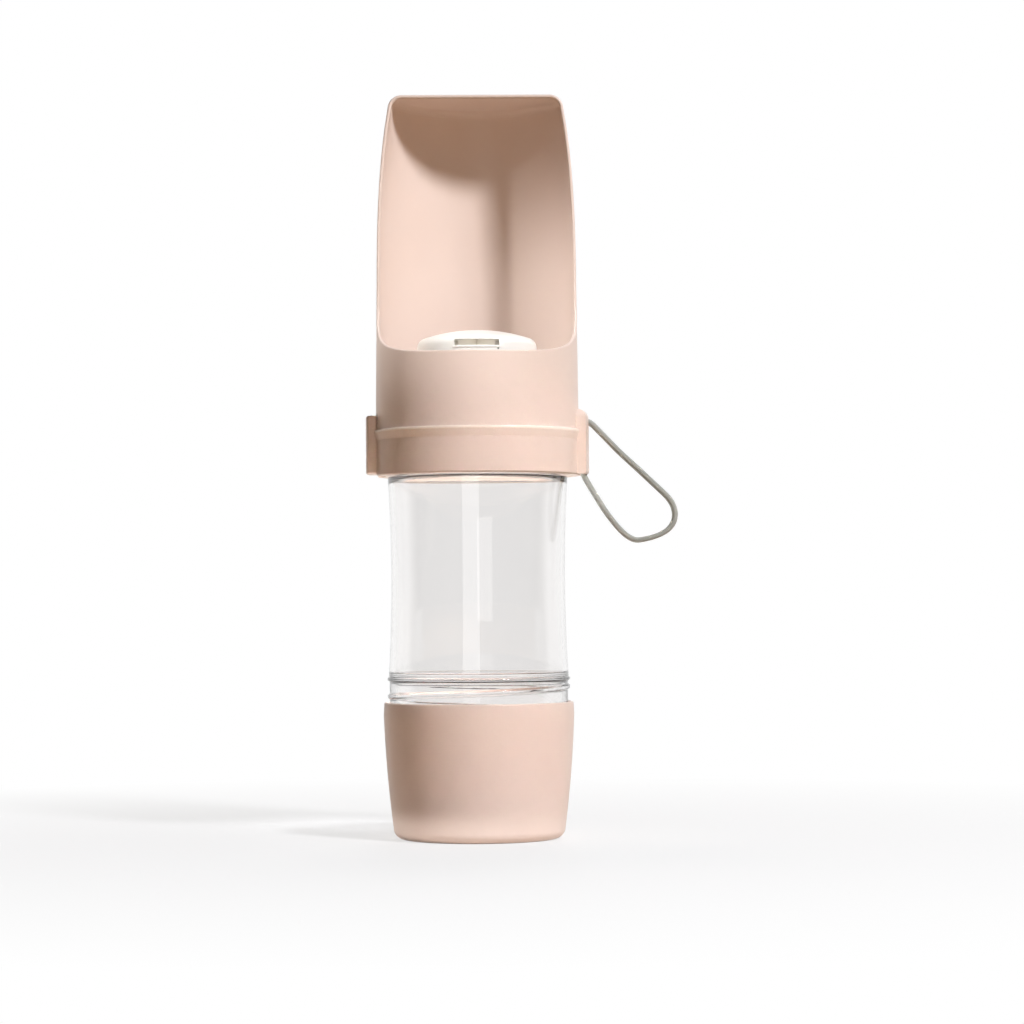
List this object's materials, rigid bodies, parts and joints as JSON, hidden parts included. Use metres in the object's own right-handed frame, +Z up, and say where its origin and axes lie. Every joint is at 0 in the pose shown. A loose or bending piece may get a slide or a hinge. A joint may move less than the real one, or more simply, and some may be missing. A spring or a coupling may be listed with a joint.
{
  "type": "dog travel water bottle",
  "caption": "Clear water bottle with a scoop-shaped drinking trough, a side push-button valve, a wrist strap and a screw-on food cup below.",
  "frame": {"origin": "middle of the underside of the food cup, on the surface that the bottle stands on", "axes": "+Z up the bottle's axis; the open side of the trough faces -Y; the push button is at -X and the strap at +X"},
  "size_m": [0.1133, 0.0764, 0.2711],
  "materials": {
    "shell_pink": "satin moulded plastic, soft pink",
    "cup_pink": "satin moulded plastic, soft pink",
    "button_pink": "satin moulded plastic, soft pink",
    "clear_plastic": "clear polished plastic",
    "silicone": "milky silicone",
    "seal_rubber": "black rubber",
    "spring_steel": "stainless wire and strip",
    "white_plastic": "moulded white plastic",
    "dome_white": "satin white plastic",
    "filter_grey": "grey filter medium",
    "strap_grey": "matt grey flat band"
  },
  "bodies": {
    "bottle": {"bottle": "clear_plastic"},
    "neck_gasket": {"neck_gasket": "silicone"},
    "head": {"trough_shell": "shell_pink", "collar_ring": "shell_pink", "button_bush": "white_plastic", "button_spring": "spring_steel", "valve_guide": "white_plastic", "valve_spring": "spring_steel", "outlet_dome": "dome_white", "filter_puck": "filter_grey", "wrist_strap": "strap_grey"},
    "button": {"push_button": "button_pink", "button_clip": "spring_steel", "button_oring": "seal_rubber"},
    "valve": {"valve_stem": "white_plastic", "valve_poppet": "silicone", "poppet_clip": "spring_steel", "spring_cap": "white_plastic"},
    "cup_gasket": {"cup_gasket": "silicone"},
    "food_cup": {"food_cup": "cup_pink"}
  },
  "joints": [
    {"name": "head_lift", "type": "slide", "parent": "bottle", "child": "neck_gasket", "axis": [0, 0, 1], "range_m": [0, 0.012]},
    {"name": "head_turn", "type": "hinge", "parent": "neck_gasket", "child": "head", "pos_m": [0, 0, 0], "axis": [0, 0, 1], "range_deg": [0, 721]},
    {"name": "cup_drop", "type": "slide", "parent": "bottle", "child": "cup_gasket", "axis": [0, 0, -1], "range_m": [0, 0.01225]},
    {"name": "cup_turn", "type": "hinge", "parent": "cup_gasket", "child": "food_cup", "pos_m": [0, 0, 0], "axis": [0, 0, -1], "range_deg": [0, 631]},
    {"name": "button_press", "type": "slide", "parent": "head", "child": "button", "axis": [1, 0, 0], "range_m": [0, 0.0025], "stiffness_N_per_m": 600, "springref_m": -0.004, "deforming": ["button_spring"]},
    {"name": "valve_open", "type": "slide", "parent": "head", "child": "valve", "axis": [0, 0, -1], "range_m": [0, 0.0025], "stiffness_N_per_m": 400, "springref_m": -0.004, "deforming": ["valve_spring"]}
  ],
  "couplings": [
    {"joint": "head_turn", "follows": "head_lift", "rad_per_m": 1047.2},
    {"joint": "cup_turn", "follows": "cup_drop", "rad_per_m": 897.6},
    {"joint": "valve_open", "follows": "button_press", "ratio": 1}
  ]
}
